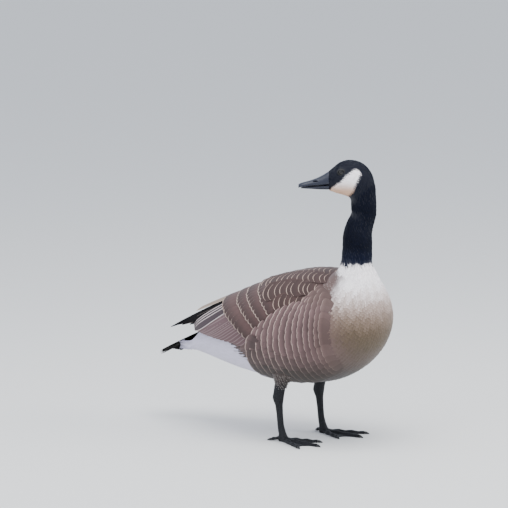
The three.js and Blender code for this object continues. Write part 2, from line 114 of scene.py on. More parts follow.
def on_body(t, angle, lift=0.0):
    """A point lift millimetres over the body at row t; angle is 0 on the back, 90 on the left."""
    t, angle, lift = np.broadcast_arrays(np.asarray(t, float), np.asarray(angle, float), lift)
    upper_f, upper_z, lower_f, lower_z, half, turn = np.moveaxis(along_rows(BODY, t), -1, 0)
    top = swung(upper_f, 0.0, upper_z, turn)
    middle = swung((upper_f + lower_f) / 2, 0.0, (upper_z + lower_z) / 2, turn)
    tall = np.linalg.norm(top - middle, axis=-1, keepdims=True)
    sideways = swung(upper_f, 1.0, upper_z, turn) - top
    sideways = sideways / np.linalg.norm(sideways, axis=-1, keepdims=True)
    a = np.radians(angle)[..., None]
    up = (top - middle) / tall
    return (
        middle
        + up * np.cos(a) * (tall + lift[..., None] / 1000)
        + sideways * np.sin(a) * (half[..., None] + lift[..., None]) / 1000
    )


def tube_faces(rings, sides):
    """Quads between rings of points, with a fan over each end; the two end centres come last."""
    quads = []
    for i in range(rings - 1):
        for j in range(sides):
            k = (j + 1) % sides
            quads.append((i * sides + j, i * sides + k, (i + 1) * sides + k, (i + 1) * sides + j))
    first, last = rings * sides, rings * sides + 1
    for j in range(sides):
        k = (j + 1) % sides
        quads.append((first, k, j))
        quads.append((last, (rings - 1) * sides + j, (rings - 1) * sides + k))
    return quads


def closed_tube(grid):
    """Points and faces of a closed tube over a grid of rings."""
    points = np.vstack([grid.reshape(-1, 3), grid[0].mean(0), grid[-1].mean(0)])
    return points, tube_faces(*grid.shape[:2])


def mesh_object(name, points, faces):
    mesh = bpy.data.meshes.new(name)
    mesh.from_pydata([tuple(p) for p in points], [], faces)
    mesh.update()
    mesh.shade_smooth()
    piece = bpy.data.objects.new(name, mesh)
    bpy.context.scene.collection.objects.link(piece)
    return piece


def outward(piece):
    """Turns every face of a closed piece outwards."""
    shape = bmesh.new()
    shape.from_mesh(piece.data)
    bmesh.ops.recalc_face_normals(shape, faces=shape.faces)
    shape.to_mesh(piece.data)
    shape.free()


def plain(piece):
    """Applies a piece's modifiers and puts the finished mesh in its place."""
    as_modified = piece.evaluated_get(bpy.context.evaluated_depsgraph_get())
    finished = bpy.data.meshes.new_from_object(as_modified)
    finished.name = piece.name
    piece.modifiers.clear()
    piece.data = finished
    return piece


def coat_depth(t):
    """Millimetres of feathers over the skin at row t."""
    return np.interp(t, [0, 2, 11, 13, 18, 20, BILL_BASE], [3, 5, 5, 1.7, 1.0, 1.1, 0.7])


SKIN_RINGS, SKIN_SIDES, SKIN_VOXEL = 190, 96, 0.0026
rows_down = np.linspace(0, BILL_BASE, SKIN_RINGS)
turns_round = np.arange(SKIN_SIDES) * 360 / SKIN_SIDES
body_points, body_faces = closed_tube(
    on_body(rows_down[:, None], turns_round[None], -coat_depth(rows_down)[:, None])
)
skin_points, skin_faces = [body_points], list(body_faces)
THIGH_SIDE = 0.98 * 116 / 2  # each thigh's distance from the midline, a little inside the foot's
# Rows of the thigh from the top down: height, forward place, half the length and half the width
THIGH = np.array([
    (165, 30, 43, 29), (146, 22, 37, 27), (128, 9, 19, 17), (115, 4, 12.7, 11.7), (105, 2, 10.8, 10),
])
THIGH_SIDES = 40
a = np.radians(np.arange(THIGH_SIDES) * 360 / THIGH_SIDES)
for side in (1, -1):
    points, faces = closed_tube(np.array([
        at(forward + long * np.cos(a), side * THIGH_SIDE + wide * np.sin(a), up)
        for up, forward, long, wide in THIGH
    ]))
    start = sum(len(p) for p in skin_points)
    skin_points.append(points)
    skin_faces += [tuple(start + v for v in f) for f in faces]
skin = mesh_object("skin", np.vstack(skin_points), skin_faces)
outward(skin)
remesh = skin.modifiers.new("one_skin", "REMESH")
remesh.mode = "VOXEL"
remesh.voxel_size = SKIN_VOXEL
ease = skin.modifiers.new("ease", "SMOOTH")
ease.iterations = 4
plain(skin)
skin.data.shade_smooth()


def near_tree(points):
    """Finds the nearest of these points to any place."""
    tree = KDTree(len(points))
    for i, p in enumerate(points):
        tree.insert(p, i)
    tree.balance()
    return tree


def points_of(piece):
    values = np.empty(len(piece.data.vertices) * 3, np.float32)
    piece.data.vertices.foreach_get("co", values)
    return values.reshape(-1, 3).astype(float)


def srgb(*levels):
    """Linear colour from the usual 0 to 255 levels."""
    c = np.array(levels, float) / 255
    return np.where(c <= 0.04045, c / 12.92, ((c + 0.055) / 1.055) ** 2.4)


def fade(value, start, end):
    """Rises smoothly from 0 at start to 1 at end."""
    s = np.clip((value - start) / (end - start), 0, 1)
    return (s * s * (3 - 2 * s))[..., None]


def wander(p, size, seed):
    """A smooth random value of about -1 to 1 that changes over size metres."""
    chance = np.random.default_rng(seed)
    total = 0
    for _ in range(5):
        direction = chance.normal(size=3)
        direction /= np.linalg.norm(direction)
        turns = p @ direction * 2 * math.pi / size / chance.uniform(0.7, 1.5)
        total = total + np.sin(turns + chance.uniform(0, 6.3))
    return total / 2.6


# Cheek patch on the side of the head, as forward and up of a bird that looks ahead; it meets its
# fellow under the chin
CHEEK = [
    (189.2, 471), (168.5, 486.5), (154.5, 500), (145.5, 507), (138.2, 510), (133.2, 506.2),
    (132, 502.1), (136.2, 492.4), (141.8, 479.9), (147.5, 466.1), (154, 457), (189.2, 457),
]


def cheek_distance(p):
    """Distance in millimetres inside the cheek patch's edge, negative outside."""
    turn = math.radians(HEAD_TURN)
    left, up = p[:, 0] * 1000, p[:, 2] * 1000
    ahead = (forward_of(p) - NECK_AXIS) * math.cos(turn) - left * math.sin(turn)
    q = np.stack([NECK_AXIS + ahead, up], -1)
    corners = np.array(CHEEK)
    inside = np.zeros(len(q), bool)
    closest = np.full(len(q), 1e9)
    for a, b in zip(corners, np.roll(corners, -1, 0)):
        d = b - a
        s = np.clip(((q - a) @ d) / (d @ d), 0, 1)
        closest = np.minimum(closest, np.linalg.norm(q - a - s[:, None] * d, axis=1))
        crosses = (a[1] > q[:, 1]) != (b[1] > q[:, 1])
        x = a[0] + (q[:, 1] - a[1]) * (b[0] - a[0]) / np.where(b[1] == a[1], 1e-9, b[1] - a[1])
        inside ^= crosses & (q[:, 0] < x)
    return np.where(inside, closest, -closest)


# Black of the neck, and of the crown with a little painted light
BLACK, CROWN = srgb(8, 12, 26), srgb(11, 15, 28)
WHITE, THROAT, VENT = srgb(254, 249, 250), srgb(206, 168, 142), srgb(203, 198, 217)
# The flanks' own brown, and a much darker belly brown that is painted shade under the body
FLANK, BELLY_IN_SHADE = srgb(113, 89, 88), srgb(52, 45, 41)
MANTLE, RUMP = srgb(98, 78, 74), srgb(34, 29, 29)
# Height and colour down the breast, from grey-brown through buff to white under the neck; the lower
# rows are darkened further as painted shade under the body
BREAST = np.array([
    (118, *srgb(60, 52, 43)), (139, *srgb(60, 53, 41)), (165, *srgb(69, 61, 46)),
    (222, *srgb(90, 75, 58)), (250, *srgb(122, 103, 89)), (269, *srgb(162, 143, 133)),
    (288, *srgb(214, 201, 197)), (306, *WHITE),
])


def markings(p, row):
    """Colour of the plumage at each point p, in metres, at its row on the body."""
    forward, up = forward_of(p), p[:, 2] * 1000
    ragged = wander(p, 0.011, 3)
    height = up + 5 * ragged
    tone = np.stack([np.interp(height, BREAST[:, 0], BREAST[:, k]) for k in (1, 2, 3)], -1)
    # Brown flanks and back begin behind a line across the shoulder
    edge = np.interp(up, [120, 170, 205, 240, 320, 330], [150, 154, 149, 142, 134, 106])
    spread = np.interp(up, [170, 240, 290], [44, 34, 12])
    # Painted shade: the flanks darken downwards into the belly's painted shade
    brown = FLANK + (BELLY_IN_SHADE - FLANK) * fade(-up, -190, -130)
    brown = brown + (MANTLE - brown) * fade(up, 255, 275)
    tone = tone + (brown - tone) * fade(-forward, -edge - spread + 6 * ragged, -edge + spread)
    # Vent and the ring over the tail are white, the lower back is dark
    behind = np.interp(up, [100, 140, 155, 166, 181, 200], [8, -32, -59, -72, -86, -96])
    tone = tone + (RUMP - tone) * fade(-forward, 95, 125) * fade(up, 196, 214)
    before_vent = fade(-forward, -behind - 26, -behind - 6) * fade(up, 140, 165)
    tone = tone + (RUMP * 2 - tone) * before_vent * 0.8
    vent = fade(-forward, -behind - 5 + 5 * ragged, -behind + 6) * fade(-up, -212, -200)
    tone = tone + (VENT - tone) * vent
    tone = tone + (VENT - tone) * fade(-forward, 218, 226)
    # Black neck and head with the cheek patch
    neck = fade(up + 2.2 * ragged, 335, 338.5)
    # Painted light: the black is a little lighter over the crown and lighter low on the neck
    black = (BLACK + (CROWN - BLACK) * fade(up, 470, 510)) * (1 + 0.9 * fade(-up, -376, -346))
    tone = tone + (black - tone) * neck
    patch = fade(cheek_distance(p) + 0.8 * wander(p, 0.006, 5), -0.8, 0.8)
    patch = patch * (row > HEAD_START - 2)[:, None]
    cheek = WHITE + (THROAT - WHITE) * fade(-up, -490, -468)
    return tone + (cheek - tone) * patch


def set_attribute(piece, name, values, kind):
    channel = {"FLOAT_VECTOR": "vector", "FLOAT_COLOR": "color"}[kind]
    values = np.asarray(values, float)
    if kind == "FLOAT_COLOR" and values.shape[1] == 3:
        values = np.hstack([values, np.ones((len(values), 1))])
    made = piece.data.attributes.new(name, kind, "POINT")
    made.data.foreach_set(channel, values.astype(np.float32).ravel())


# Each point of the skin takes the number of the body's row nearest to it
skin_at = points_of(skin)
body_near = near_tree(body_points[: SKIN_RINGS * SKIN_SIDES])
skin_row = np.array([rows_down[body_near.find(p)[1] // SKIN_SIDES] for p in skin_at])
set_attribute(skin, "tint", markings(skin_at, skin_row), "FLOAT_COLOR")
bpy.context.view_layer.objects.active = skin
skin.select_set(True)
skin.data.uv_layers.new(name="OFBake")
bpy.ops.object.mode_set(mode="EDIT")
bpy.ops.mesh.select_all(action="SELECT")
bpy.ops.uv.smart_project(angle_limit=math.radians(66), island_margin=0.002)
bpy.ops.object.mode_set(mode="OBJECT")
skin.select_set(False)


def plumage_finish(name, roughness=0.75, sheen=0.2, gloss=0.25, **look_values):
    """Feather finish: the tint of the plumage, and with look_values the look of single vanes."""
    finish = bpy.data.materials.new(name)
    finish.use_nodes = True
    nodes, links = finish.node_tree.nodes, finish.node_tree.links
    shader = nodes["Principled BSDF"]
    shader.inputs["Roughness"].default_value = roughness
    shader.inputs["Sheen Weight"].default_value = sheen
    shader.inputs["Specular IOR Level"].default_value = gloss
    tint = nodes.new("ShaderNodeAttribute")
    tint.attribute_name = "tint"
    tone = tint.outputs["Color"]
    if look_values:
        place = nodes.new("ShaderNodeAttribute")
        place.attribute_name = "vane"
        look = nodes.new("ShaderNodeGroup")
        look.node_tree = vane_look()
        links.new(place.outputs["Vector"], look.inputs["Place"])
        links.new(tone, look.inputs["Tint"])
        links.new(tint.outputs["Alpha"], look.inputs["Strength"])
        for key, value in look_values.items():
            look.inputs[key].default_value = (*value, 1) if key == "rim_tone" else value
        tone = look.outputs["Tone"]
    links.new(tone, shader.inputs["Base Color"])
    return finish


def join(tree, sources, sockets):
    """Gives each socket its number, or links it to its source."""
    for source, socket in zip(sources, sockets):
        if isinstance(source, (int, float)):
            socket.default_value = source
        else:
            tree.links.new(source, socket)


def maths(tree, operation, *sources):
    """The output of a new Math node."""
    node = tree.nodes.new("ShaderNodeMath")
    node.operation = operation
    join(tree, sources, node.inputs)
    return node.outputs[0]


def vane_look():
    """Shader group: a vane's tone from the place on it, x across and y from root to tip, 0 to 1 each.
    It darkens or lightens the vane towards its root, which paints its own banding and, on the flanks,
    a painted shadow under the tips of the row above; it draws fine barbs that slant outwards from the
    shaft, and pales the rim."""
    if "vane_look" in bpy.data.node_groups:
        return bpy.data.node_groups["vane_look"]
    group = bpy.data.node_groups.new("vane_look", "ShaderNodeTree")
    for name, kind, usual in (
        ("Place", "Vector", None), ("Tint", "Color", None), ("Strength", "Float", 1),
        ("rim", "Float", 0.8), ("rim_tone", "Color", (0.5, 0.4, 0.35, 1)),
        ("side_from", "Float", 0.86), ("side_along", "Float", 0.62), ("tip_from", "Float", 0.93),
        ("root_shade", "Float", 0.7), ("shade_from", "Float", 0.1), ("barbs", "Float", 0.1),
    ):
        made = group.interface.new_socket(name, in_out="INPUT", socket_type="NodeSocket" + kind)
        if usual is not None:
            made.default_value = usual
    group.interface.new_socket("Tone", in_out="OUTPUT", socket_type="NodeSocketColor")
    nodes, links = group.nodes, group.links
    given, result = nodes.new("NodeGroupInput"), nodes.new("NodeGroupOutput")

    def value(operation, *sources):
        return maths(group, operation, *sources)

    def blend(share, first, second, kind="MIX"):
        node = nodes.new("ShaderNodeMix")
        node.data_type, node.blend_type = "RGBA", kind
        join(group, (share, first, second), (node.inputs[0], node.inputs[6], node.inputs[7]))
        return node.outputs[2]

    def ramp(source, start, end):
        node = nodes.new("ShaderNodeMapRange")
        node.interpolation_type = "SMOOTHSTEP"
        sockets = [node.inputs[key] for key in ("Value", "From Min", "From Max")]
        join(group, (source, start, end), sockets)
        return node.outputs["Result"]

    split = nodes.new("ShaderNodeSeparateXYZ")
    links.new(given.outputs["Place"], split.inputs[0])
    across = value("ABSOLUTE", value("SUBTRACT", value("MULTIPLY", split.outputs[0], 2), 1))
    along = split.outputs[1]
    side_from, side_along = given.outputs["side_from"], given.outputs["side_along"]
    tip_from, strength = given.outputs["tip_from"], given.outputs["Strength"]
    side_edge = ramp(across, side_from, value("ADD", side_from, 0.07))
    past_root = ramp(along, side_along, value("ADD", side_along, 0.24))
    near_side = value("MULTIPLY", side_edge, past_root)
    near_tip = ramp(along, tip_from, value("ADD", tip_from, 0.025))
    rim = value("MULTIPLY", value("MAXIMUM", near_side, near_tip), given.outputs["rim"])
    rim = value("MULTIPLY", rim, strength)
    wave = value("SUBTRACT", value("MULTIPLY", along, 160), value("MULTIPLY", across, 26))
    barb = value("MULTIPLY", value("SINE", wave), value("MULTIPLY", given.outputs["barbs"], 0.5))
    from_root = value("SUBTRACT", 1, ramp(along, given.outputs["shade_from"], 0.97))
    shade = value("MULTIPLY", value("SUBTRACT", given.outputs["root_shade"], 1), from_root)
    bright = value("ADD", 1, value("MULTIPLY", value("ADD", shade, barb), strength))
    grey = nodes.new("ShaderNodeCombineColor")
    for socket in grey.inputs:
        links.new(bright, socket)
    tone = blend(1.0, given.outputs["Tint"], grey.outputs[0], "MULTIPLY")
    links.new(blend(rim, tone, given.outputs["rim_tone"]), result.inputs["Tone"])
    return group


skin.data.materials.append(plumage_finish("down"))
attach(skin, "root")
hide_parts("torso", "neck_lower", "neck_upper", "head", "thigh_left", "thigh_right")


# Small feathers of neck and head: soft velvety black vanes, white on the cheeks. Each is rooted in
# the skin and lies towards the tail, in overlapping rows, in the colour of the plumage round it.
def vane_faces(start, across, along):
    """Quads of one vane, whose points stand in rows of across + 1 from root to tip."""
    corners = [start + i * (across + 1) + j for i in range(along) for j in range(across)]
    return [(a, a + 1, a + across + 2, a + across + 1) for a in corners]


def short_vane(name, across, along, droop, cup, outline=(0.35, 0.78, 1, 0.92, 0.62, 0.42)):
    """One vane, 1 long and 1 wide, rooted at the origin and pointing along +Y with its face up."""
    points, places = [], []
    for i in range(along + 1):
        v = i / along
        wide = np.interp(v, [0, 0.25, 0.6, 0.82, 0.95, 1], outline)
        for j in range(across + 1):
            u = j / across * 2 - 1
            tip = 1 - 0.1 * u * u if i == along else 1
            points.append((u * wide / 2, v * tip, -droop * v * v - cup * u * u * wide))
            places.append((j / across, v))
    piece = mesh_object(name, points, vane_faces(0, across, along))
    own = piece.data.uv_layers.new(name="vane")
    for loop in piece.data.loops:
        own.data[loop.index].uv = places[loop.vertex_index]
    piece.hide_render = True
    return piece


def plumage_tree():
    """Geometry Nodes: a vane on each root point, turned to lie as the coat does, with its patch of
    the map OFBake. The roots carry the attributes out, lie, size, tint and root_map."""
    tree = bpy.data.node_groups.new("plumage", "GeometryNodeTree")
    tree.interface.new_socket("Geometry", in_out="INPUT", socket_type="NodeSocketGeometry")
    for name, kind, value in (
        ("Vane", "NodeSocketObject", None), ("Finish", "NodeSocketMaterial", None),
        ("Raise", "NodeSocketFloat", 6.0), ("Unevenness", "NodeSocketFloat", 0.1),
        ("Seed", "NodeSocketInt", 1), ("Patch", "NodeSocketFloat", 0.003),
    ):
        made = tree.interface.new_socket(name, in_out="INPUT", socket_type=kind)
        if value is not None:
            made.default_value = value
    tree.interface.new_socket("Geometry", in_out="OUTPUT", socket_type="NodeSocketGeometry")
    nodes, links = tree.nodes, tree.links
    given, result = nodes.new("NodeGroupInput"), nodes.new("NodeGroupOutput")

    def named(name, kind="FLOAT_VECTOR"):
        node = nodes.new("GeometryNodeInputNamedAttribute")
        node.data_type = kind
        node.inputs["Name"].default_value = name
        return node.outputs["Attribute"]

    def uneven(low, high, step):
        """A random value for each vane, less where the coat is even."""
        node = nodes.new("FunctionNodeRandomValue")
        node.data_type = "FLOAT"
        node.inputs[2].default_value, node.inputs[3].default_value = low, high
        links.new(maths(tree, "ADD", given.outputs["Seed"], step), node.inputs["Seed"])
        return maths(tree, "MULTIPLY", node.outputs[1], given.outputs["Unevenness"])

    lie = nodes.new("FunctionNodeAxesToRotation")
    lie.primary_axis, lie.secondary_axis = "Z", "Y"
    links.new(named("out"), lie.inputs[0])
    links.new(named("lie"), lie.inputs[1])
    tilt = nodes.new("ShaderNodeCombineXYZ")
    raised = maths(tree, "ADD", given.outputs["Raise"], uneven(-20, 20, 1))
    links.new(maths(tree, "MULTIPLY", raised, math.pi / 180), tilt.inputs[0])
    links.new(uneven(-0.6, 0.6, 2), tilt.inputs[1])
    links.new(uneven(-1.2, 1.2, 3), tilt.inputs[2])
    turned = nodes.new("FunctionNodeRotateRotation")
    turned.rotation_space = "LOCAL"
    links.new(lie.outputs[0], turned.inputs[0])
    as_turn = nodes.new("FunctionNodeEulerToRotation")
    links.new(tilt.outputs[0], as_turn.inputs[0])
    links.new(as_turn.outputs[0], turned.inputs[1])
    grown = nodes.new("ShaderNodeVectorMath")
    grown.operation = "SCALE"
    links.new(named("size"), grown.inputs[0])
    links.new(maths(tree, "ADD", 1, uneven(-1, 1, 4)), grown.inputs["Scale"])
    vane = nodes.new("GeometryNodeObjectInfo")
    links.new(given.outputs["Vane"], vane.inputs[0])
    spread = nodes.new("GeometryNodeInstanceOnPoints")
    links.new(given.outputs["Geometry"], spread.inputs["Points"])
    links.new(vane.outputs["Geometry"], spread.inputs["Instance"])
    links.new(turned.outputs[0], spread.inputs["Rotation"])
    links.new(grown.outputs[0], spread.inputs["Scale"])
    real = nodes.new("GeometryNodeRealizeInstances")
    links.new(spread.outputs[0], real.inputs[0])
    patch = nodes.new("ShaderNodeVectorMath")
    patch.operation = "MULTIPLY_ADD"
    links.new(named("vane"), patch.inputs[0])
    side = nodes.new("ShaderNodeCombineXYZ")
    for socket in side.inputs:
        links.new(given.outputs["Patch"], socket)
    links.new(side.outputs[0], patch.inputs[1])
    links.new(named("root_map"), patch.inputs[2])
    bake = nodes.new("GeometryNodeStoreNamedAttribute")
    bake.data_type, bake.domain = "FLOAT2", "CORNER"
    bake.inputs["Name"].default_value = "OFBake"
    links.new(real.outputs[0], bake.inputs["Geometry"])
    links.new(patch.outputs[0], bake.inputs["Value"])
    source = bake.outputs[0]
    for spare in ("root_map", "lie", "out", "size"):
        drop = nodes.new("GeometryNodeRemoveAttribute")
        drop.inputs["Name"].default_value = spare
        links.new(source, drop.inputs[0])
        source = drop.outputs[0]
    smooth = nodes.new("GeometryNodeSetShadeSmooth")
    links.new(source, smooth.inputs[0])
    finish = nodes.new("GeometryNodeSetMaterial")
    links.new(smooth.outputs[0], finish.inputs["Geometry"])
    links.new(given.outputs["Finish"], finish.inputs["Material"])
    links.new(finish.outputs[0], result.inputs[0])
    return tree


PLUMAGE = plumage_tree()
skin_map = np.empty(len(skin.data.loops) * 2, np.float32)
skin.data.uv_layers["OFBake"].data.foreach_get("uv", skin_map)
skin_map = skin_map.reshape(-1, 2)
map_of_point = np.zeros((len(skin.data.vertices), 2))
loop_points = np.empty(len(skin.data.loops), np.int32)
skin.data.loops.foreach_get("vertex_index", loop_points)
map_of_point[loop_points] = skin_map
skin_near = near_tree(skin_at)
MAP_PATCH = 0.003  # side of the patch of the map that one small feather takes


def grow(name, roots, lie, out, size, tint, vane, finish, raised, unevenness, seed):
    """Grows a vane on each root, raised so many degrees from the skin, and returns the piece."""
    piece = mesh_object(name, roots, [])
    root_map = np.zeros((len(roots), 3))
    root_map[:, :2] = [map_of_point[skin_near.find(p)[1]] - MAP_PATCH / 2 for p in roots]
    set_attribute(piece, "tint", tint, "FLOAT_COLOR")
    for key, values in (("lie", lie), ("out", out), ("size", size), ("root_map", root_map)):
        set_attribute(piece, key, values, "FLOAT_VECTOR")
    growing = piece.modifiers.new("plumage", "NODES")
    growing.node_group = PLUMAGE
    sockets = {s.name: s.identifier for s in PLUMAGE.interface.items_tree if s.in_out == "INPUT"}
    for key, value in (
        ("Vane", vane), ("Finish", finish), ("Raise", float(raised)),
        ("Unevenness", float(unevenness)), ("Seed", seed), ("Patch", MAP_PATCH),
    ):
        growing[sockets[key]] = value
    plain(piece)
    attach(piece, "root")
    return piece


def coat_rows(row_from, row_to, columns, gap, keep, seed):
    """Roots in staggered rows between two rows of the body; gap(rows, angle) is the space between
    feather rows in millimetres. Returns row and angle of the roots that keep leaves in."""
    steps = np.linspace(row_from, row_to, 900)
    chance = np.random.default_rng(seed)
    rows, angles = [], []
    for j in range(columns):
        angle = j * 360 / columns
        line = on_body(steps, angle)
        run = np.linalg.norm(np.diff(line, axis=0), axis=1) * 1000 / gap(steps[1:], angle)
        run = np.concatenate([[0], np.cumsum(run)])
        marks = np.arange(0.5 * (j % 2), run[-1])
        marks = marks + chance.uniform(-0.1, 0.1, len(marks))
        rows.append(np.interp(marks, run, steps))
        angles.append(angle + chance.uniform(-0.16, 0.16, len(marks)) * 360 / columns)
    rows, angles = np.concatenate(rows), np.concatenate(angles) % 360
    chosen = keep(rows, angles)
    return rows[chosen], angles[chosen]


def lie_on_body(rows, angles, lift):
    """Root places, lie towards the tail, and outward direction on the body."""
    roots = on_body(rows, angles, lift)
    lie = on_body(rows - 0.04, angles, lift) - on_body(rows + 0.04, angles, lift)
    around = on_body(rows, angles + 0.7, lift) - on_body(rows, angles - 0.7, lift)
    lie /= np.linalg.norm(lie, axis=1, keepdims=True)
    out = np.cross(around, lie)
    out /= np.linalg.norm(out, axis=1, keepdims=True)
    middle = on_body(rows, 0, -20) + on_body(rows, 180, -20)
    out *= np.sign(((roots - middle / 2) * out).sum(1))[:, None]
    return roots, lie, out


tiny_vane = short_vane("tiny_vane", 2, 2, 0.03, 0.2)
velvet = plumage_finish("velvet_black", roughness=0.6, sheen=0.03, gloss=0.07)
EYE = (166, 12.9, 504)  # ahead, to each side and up
EYE_CLEARANCE = 0.0096


def clear_of_eyes(p):
    good = np.ones(len(p), bool)
    for side in (1, -1):
        centre = on_head(EYE[0], side * EYE[1], EYE[2])
        good &= np.linalg.norm(p - centre, axis=1) > EYE_CLEARANCE
    return good


for name, first, last, columns, gap, long, wide, seed in (
    ("neck_feathers", 20.2, NECK_BASE - 0.4, 62, 3.0, 8.5, 4.6, 11),
    ("head_feathers", BILL_BASE - 0.05, 20.0, 58, 2.3, 5.0, 3.2, 12),
):
    rows, angles = coat_rows(
        first, last, columns, lambda rows, angle: gap, lambda rows, angles: rows > 0, seed
    )
    roots, lie, out = lie_on_body(rows, angles, -coat_depth(rows) - 0.1)
    good = clear_of_eyes(roots)
    rows, roots, lie, out = rows[good], roots[good], lie[good], out[good]
    small = np.interp(rows, [12, 20, 22, BILL_BASE], [1, 1, 1, 0.62])
    size = np.stack([wide * small, long * small, long * small], 1) / 1000
    tint = markings(roots, rows) * np.random.default_rng(seed).uniform(0.8, 1.2, (len(roots), 1))
    piece = grow(name, roots, lie, out, size, tint, tiny_vane, velvet, 7, 0.12, seed)
    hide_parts("neck_upper" if name == "neck_feathers" else "head")

# Breast, belly, vent and mantle: soft feathers that shade from white under the neck to grey-brown.
# They are rooted in the skin like those of the neck, but longer, and leave the flanks free.
small_vane = short_vane("small_vane", 2, 3, 0.05, 0.16)
soft = plumage_finish(
    "body_plumage", sheen=0.25, rim=0.22, rim_tone=srgb(232, 224, 216), side_from=0.8,
    tip_from=0.9, root_shade=0.78, shade_from=0.3, barbs=0.04,
)


def breast_gap(rows, angle):
    return np.interp(rows, [0, 4, 8, 11, 13], [6.5, 7.5, 6.5, 5, 3.8])


def not_flank(rows, angles):
    """Everywhere on the body but the flanks, which have broad feathers of their own."""
    side = np.minimum(angles, 360 - angles)
    place = forward_of(on_body(rows, angles))
    upper_edge = np.where(place > 88, 52, 34)
    return ~((place < 108) & (place > -38) & (side > upper_edge) & (side < 150))


rows, angles = coat_rows(NECK_BASE + 0.5, 0.05, 84, breast_gap, not_flank, 21)
roots, lie, out = lie_on_body(rows, angles, -coat_depth(rows) + 0.2)
long = np.interp(rows, [0, 4, 8, 11, 13], [20, 19, 15, 12, 9])
size = np.stack([long * 0.85, long, long], 1) / 1000
tint = markings(roots, rows) * np.random.default_rng(21).uniform(0.94, 1.05, (len(roots), 1))
edges_shown = 0.12 + 0.88 * fade(roots[:, 2], 0.23, 0.3)
tint = np.hstack([tint, edges_shown])
piece = grow("body_feathers", roots, lie, out, size, tint, small_vane, soft, 3.6, 0.05, 21)
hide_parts("torso")

# Flank feathers: broad, blunt and grey-brown with pale tips, so each row shows as a pale line. They
# are rooted in the skin in upright rows and cover the lower front edge of the folded wing.
broad_vane = short_vane("broad_vane", 6, 8, 0.025, 0.03, outline=(0.4, 0.8, 1, 1, 0.92, 0.8))
# root_shade and shade_from darken each flank feather towards its root: its own dark centre and a
# painted shadow under the tips of the row above
flank_finish = plumage_finish(
    "flank_plumage", sheen=0.12, rim=0.78, rim_tone=srgb(194, 170, 159), side_from=0.93,
    side_along=0.84, tip_from=0.95, root_shade=0.5, shade_from=0.6, barbs=0.06,
)
# The flank's upper edge: how far ahead of the hips, and the angle on the body
FLANK_EDGE = (
    (-46, -40, -24, 8, 41, 76, 82, 92, 114, 130), (103, 95, 86, 79, 74, 72, 66, 61, 58, 56),
)
FOREMOST_ROW = 9.6  # the feathers end at this row of the body


def upright_rows(levels, long, gap, seed):
    """Roots in rows that stand upright on both flanks, one at each distance ahead of the hips in
    levels. Towards the flank's upper edge a row bends forwards, and its feathers turn up and back.
    Returns row, angle, lie, length and the angle of the upper edge for each root."""
    chance = np.random.default_rng(seed)
    body_rows, turn = np.linspace(3, FOREMOST_ROW, 300), np.arange(30.0, 160.0)
    there = forward_of(on_body(body_rows[:, None], turn[None]))
    there = np.maximum.accumulate(there + np.arange(len(body_rows))[:, None] * 1e-4, 0)
    found = []
    for level, length in zip(levels, long):
        top = np.interp(level - length, *FLANK_EDGE)
        bend = np.interp(level, [96, 134], [13, 1]) * np.exp(-np.maximum(turn - top, 0) / 12)
        along = [np.interp(level + b, there[:, i], body_rows) for i, b in enumerate(bend)]
        along = np.array(along)
        for side in (1, -1):
            angle = turn if side > 0 else 360 - turn
            line = on_body(along, angle)
            run = np.cumsum(np.linalg.norm(np.diff(line, axis=0), axis=1))
            run = np.concatenate([[0], run]) * 1000
            marks = np.arange(chance.uniform(0, 1), run[-1] / gap) * gap
            marks = np.clip(marks + chance.uniform(-0.2, 0.2, len(marks)) * gap, 0, run[-1])
            _, back, out = lie_on_body(along, angle, 0.0)
            across = np.cross(np.gradient(line, axis=0), out)
            across *= np.sign((across * back).sum(1))[:, None]
            across /= np.linalg.norm(across, axis=1, keepdims=True)
            found.append((
                np.interp(marks, run, along) + chance.uniform(-0.01, 0.01, len(marks)),
                np.interp(marks, run, angle),
                np.stack([np.interp(marks, run, across[:, k]) for k in range(3)], 1),
                np.full(len(marks), length),
                np.full(len(marks), top),
            ))
    return [np.concatenate(values) for values in zip(*found)]


# Rows stand close together under the shoulder and wider apart towards the vent
levels = 134 - np.cumsum(np.linspace(8.5, 15.5, 12))
levels = np.concatenate([[142, 134], levels[levels > -9], [-9]])
long = np.interp(levels, [-10, 60, 100, 134], [42, 36, 28, 22])
rows, angles, lie, long, top = upright_rows(levels, long, 12, 31)
side = np.minimum(angles, 360 - angles)
kept = (side > top) & (side < 158) & (rows < FOREMOST_ROW - 0.015)
rows, angles, lie = rows[kept], angles[kept], lie[kept]
long, side, top = long[kept], side[kept], top[kept]
over_wing = 3.3 * np.exp(-((side - top) / 30) ** 2)
under_breast = 0.9 * fade(rows, 8.3, 9.2)[:, 0]
roots, _, out = lie_on_body(rows, angles, -4.3 - under_breast + over_wing)
size = np.stack([long * 0.9, long, long], 1) / 1000
low = fade(side, 96, 148)[:, 0]
front = fade(rows, 7.4, 8.8)[:, 0]
strength = (1 - 0.8 * low) * (1 - 0.45 * front)
# Those in front take the tone of the plumage under their tips, which is all that shows of them
shown = roots + lie * (0.8 * long * front / 1000)[:, None]
tint = markings(shown, rows) * np.random.default_rng(31).uniform(0.9, 1.08, (len(roots), 1))
tint = np.hstack([tint, strength[:, None]])
piece = grow(
    "flank_feathers", roots, lie, out, size, tint, broad_vane, flank_finish, 5.2, 0.02, 31
)
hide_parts("torso")

